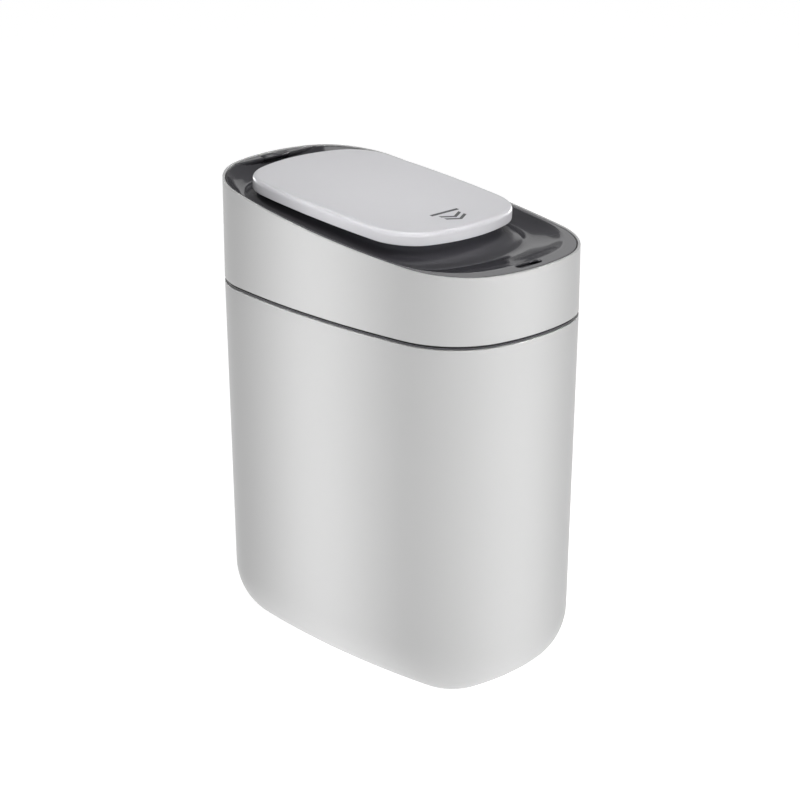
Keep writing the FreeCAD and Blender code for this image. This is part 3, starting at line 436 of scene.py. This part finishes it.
def neck_top(y):
    """Height of the neck's flat top, a little below the pad."""
    return PAD_UNDER - NECK_GAP + (y - NECK[0]) * PAD_SLOPE


def deck_ring(share, lower):
    """A ring of the deck's surface; lower moves it down to the underside."""
    outline = mixed(LAND, VALLEY, share) if share <= 1.0 else mixed(VALLEY, NECK, share - 1.0)
    depth = catmull(DECK_DEPTHS, share)
    limit = land_height if share <= 1.0 else neck_top
    return [(x, y, soft_least(chord_height(y) - depth, limit(y), CREASE) - lower)
            for x, y in ring(outline)]


def deck_surface(lower):
    """Rings over the deck from its outer edge to the middle of the neck."""
    edge = inward(BODY, DECK_INSET + DECK_LIP)
    crease = mixed(LAND, VALLEY, DECK_SHARES[0])
    rings = []
    for share in LAND_SHARES:
        rings.append([(x, y, land_height(y) - lower) for x, y in ring(mixed(edge, crease, share))])
    rings += [deck_ring(share, lower) for share in DECK_SHARES]
    for inset in NECK_INSETS:
        rings.append([(x, y, neck_top(y) - lower) for x, y in scaled(NECK, inset)])
    return rings


def scaled(outline, inset):
    """A ring drawn towards its own middle line, for flat surfaces."""
    middle, half_width, half_length = outline[:3]
    share = 1.0 - inset / half_width
    spine = half_length - half_width
    result = []
    for x, y in ring(outline):
        centre = middle + max(-spine, min(spine, y - middle))
        result.append((x * share, centre + (y - centre) * share))
    return result


def carve(target, tool, operation):
    """Applies an exact boolean with tool, which is then removed."""
    modifier = target.modifiers.new("carve", "BOOLEAN")
    modifier.operation = operation
    modifier.solver = "EXACT"
    modifier.object = tool
    graph = bpy.context.evaluated_depsgraph_get()
    mesh = bpy.data.meshes.new_from_object(target.evaluated_get(graph))
    target.modifiers.clear()
    target.data = mesh
    bpy.data.objects.remove(tool)


def pill(name, middle_x, middle_y, length, width, low, high):
    """Upright solid with a slot's outline."""
    radius, steps = width / 2, 12
    reach = length / 2 - radius
    outline = []
    for side in (1, -1):
        for step in range(steps + 1):
            turn = -math.pi / 2 + math.pi * step / steps
            outline.append((middle_x + side * (reach + radius * math.cos(turn)),
                            middle_y + side * radius * math.sin(turn)))
    return skin(name, [[(x, y, z) for x, y in outline] for z in (low, high)],
                close_first=True, close_last=True)


def barrel(name, radius, low, high, y, z):
    """Solid cylinder along X."""
    turns = [2 * math.pi * step / 40 for step in range(40)]
    rings = [[(x, y + radius * math.cos(turn), z + radius * math.sin(turn)) for turn in turns]
             for x in (low, high)]
    return skin(name, rings, close_first=True, close_last=True)


def slab(name, x, y, z):
    """Solid block between a low and a high value on each axis."""
    rings = [[(a, b, height) for a, b in ((x[0], y[0]), (x[1], y[0]), (x[1], y[1]), (x[0], y[1]))]
             for height in z]
    return skin(name, rings, close_first=True, close_last=True)


def make_deck(finish):
    """Deck: flat land, bowl and flared neck in one smooth skin, with its slot, holes and hinge."""
    top, under = deck_surface(0.0), deck_surface(DECK_WALL)
    edge = inward(BODY, DECK_INSET)
    rim = []
    for turn in arc_steps(3):
        drop, inset = DECK_LIP * (1 - math.sin(turn)), DECK_LIP * (1 - math.cos(turn))
        rim.append([(x, y, land_height(y) - drop) for x, y in ring(inward(edge, inset))])
    foot = [[(x, y, land_height(y) - DECK_WALL) for x, y in ring(edge)]]
    rings = list(reversed(under)) + foot + rim + top
    piece = skin("deck_skin", rings, close_first=True, close_last=True)
    half, back = 60.0, (HINGE_Y - 0.9, 160.0)
    carve(piece, barrel("barrel_room", BARREL_ROOM_RADIUS, -half, half, HINGE_Y, HINGE_Z), "DIFFERENCE")
    carve(piece, slab("back_room", (-half, half), back, (380.0, 405.0)), "DIFFERENCE")
    carve(piece, pill("lock_room", 0.0, LOCK_Y, LOCK_LENGTH, LOCK_WIDTH, 350.0, 380.0), "DIFFERENCE")
    for y in ROD_PLACES:
        # A pill a hair longer than wide is a cylinder along Z.
        room = pill("bush_room", 0.0, y, BUSH_DIAMETER + 0.001, BUSH_DIAMETER, 340.0, 410.0)
        carve(piece, room, "DIFFERENCE")
    dress(piece, "lid", "deck", "deck_dark", finish)
    make_knuckle(finish)
    make_catch_blocks(finish)


def make_knuckle(finish):
    """The deck's share of the hinge: a bored barrel joined to the deck by a web."""
    half = KNUCKLE_HALF
    knuckle = barrel("deck_knuckle", KNUCKLE_RADIUS, -half, half, HINGE_Y, HINGE_Z)
    web = slab("web", (-half, half), (145.0, HINGE_Y), (HINGE_Z - 0.4, HINGE_Z + 1.9))
    carve(knuckle, web, "UNION")
    pin_room = barrel("pin_room", PIN_ROOM_RADIUS, -20.0, 20.0, HINGE_Y, HINGE_Z)
    carve(knuckle, pin_room, "DIFFERENCE")
    attach(knuckle, "lid", "deck_dark", finish)


def make_catch_blocks(finish):
    """Two blocks under the deck's front, each with a room for a magnet."""
    for side in (-1, 1):
        middle = side * CATCH_X
        block = slab("catch_block", (middle - CATCH_HALF, middle + CATCH_HALF), CATCH_Y, CATCH_Z)
        room = slab("magnet_room", (middle - MAGNET_HALF, middle + MAGNET_HALF), MAGNET_Y, MAGNET_Z)
        carve(block, room, "DIFFERENCE")
        attach(block, "lid", "deck_dark", finish)


def attach(piece, body, slot_name, finish):
    """A piece rides on a body and takes its finish from a slot."""
    piece.data.materials.clear()
    piece.data.materials.append(finish[slot_name])
    for face in piece.data.polygons:
        face.material_index = 0
    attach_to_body(piece, body)
    return piece


def dress(piece, body, node, slot_name, finish):
    """A piece that also stands in for a CAD node."""
    attach(piece, body, slot_name, finish)
    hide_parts(node)
    return piece


make_camera()
make_lights()
make_floor()
finishes = make_materials()
make_shell(finishes)
make_collar(finishes)
make_deck(finishes)
